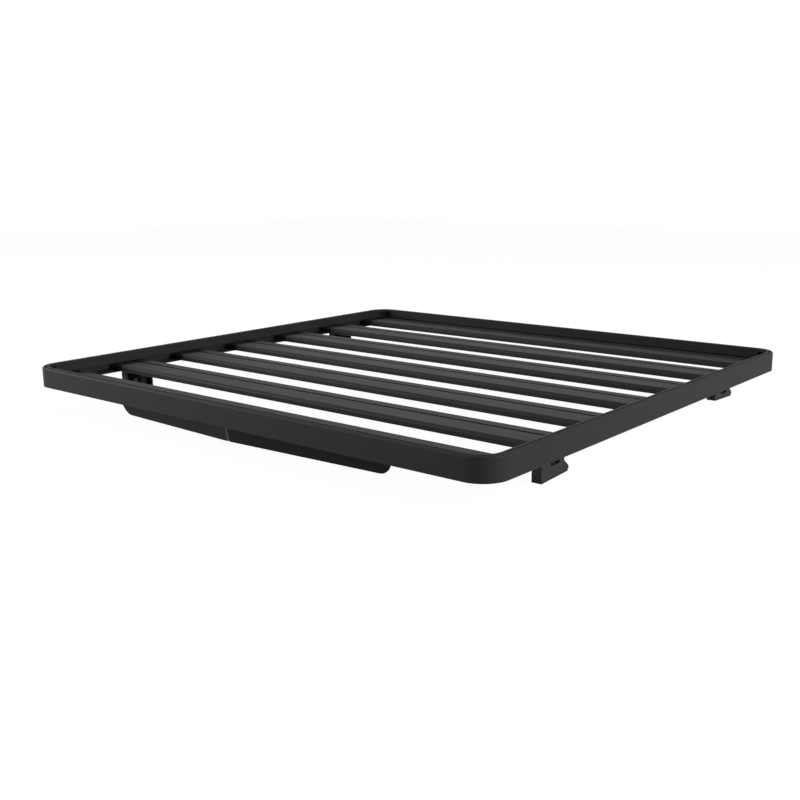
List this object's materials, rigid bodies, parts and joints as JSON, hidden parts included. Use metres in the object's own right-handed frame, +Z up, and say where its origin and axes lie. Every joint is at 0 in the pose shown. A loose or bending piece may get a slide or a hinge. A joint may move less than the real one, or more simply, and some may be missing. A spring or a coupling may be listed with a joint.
{
  "type": "flat platform roof rack",
  "caption": "Flat platform roof rack: an open framed tray of slotted crosswise slats on padded feet, with a folded wind deflector under its front rail.",
  "frame": {"origin": "middle of the tray in plan, on the floor under the lowest edge of the front feet", "axes": "+X to the vehicle's right, across it, -Y to its front, +Z up"},
  "size_m": [1.425, 1.358, 0.108],
  "materials": {
    "frame_coat": "satin black powder coat",
    "slat_coat": "satin black powder coat",
    "foot_coat": "satin black powder coat",
    "sheet_coat": "satin black powder coat",
    "cap_plastic": "matt black moulded plastic",
    "pad_rubber": "matt black rubber",
    "fastener": "black plated steel"
  },
  "bodies": {
    "root": {"front_rail": "frame_coat", "rear_rail": "frame_coat", "left_rail": "frame_coat", "right_rail": "frame_coat", "front_left_corner": "frame_coat", "front_right_corner": "frame_coat", "rear_left_corner": "frame_coat", "rear_right_corner": "frame_coat", "slat_1": "slat_coat", "slat_2": "slat_coat", "slat_3": "slat_coat", "slat_4": "slat_coat", "slat_5": "slat_coat", "slat_6": "slat_coat", "slat_7": "slat_coat", "slat_1_left_cap": "cap_plastic", "slat_1_right_cap": "cap_plastic", "slat_2_left_cap": "cap_plastic", "slat_2_right_cap": "cap_plastic", "slat_3_left_cap": "cap_plastic", "slat_3_right_cap": "cap_plastic", "slat_4_left_cap": "cap_plastic", "slat_4_right_cap": "cap_plastic", "slat_5_left_cap": "cap_plastic", "slat_5_right_cap": "cap_plastic", "slat_6_left_cap": "cap_plastic", "slat_6_right_cap": "cap_plastic", "slat_7_left_cap": "cap_plastic", "slat_7_right_cap": "cap_plastic", "front_left_foot": "foot_coat", "front_right_foot": "foot_coat", "rear_left_foot": "foot_coat", "rear_right_foot": "foot_coat", "front_left_hanger": "foot_coat", "front_right_hanger": "foot_coat", "rear_left_hanger": "foot_coat", "rear_right_hanger": "foot_coat", "front_left_pad": "pad_rubber", "front_right_pad": "pad_rubber", "rear_left_pad": "pad_rubber", "rear_right_pad": "pad_rubber", "left_deflector_panel": "sheet_coat", "right_deflector_panel": "sheet_coat", "left_inner_deflector_bracket": "sheet_coat", "left_outer_deflector_bracket": "sheet_coat", "right_inner_deflector_bracket": "sheet_coat", "right_outer_deflector_bracket": "sheet_coat"}
  },
  "joints": []
}
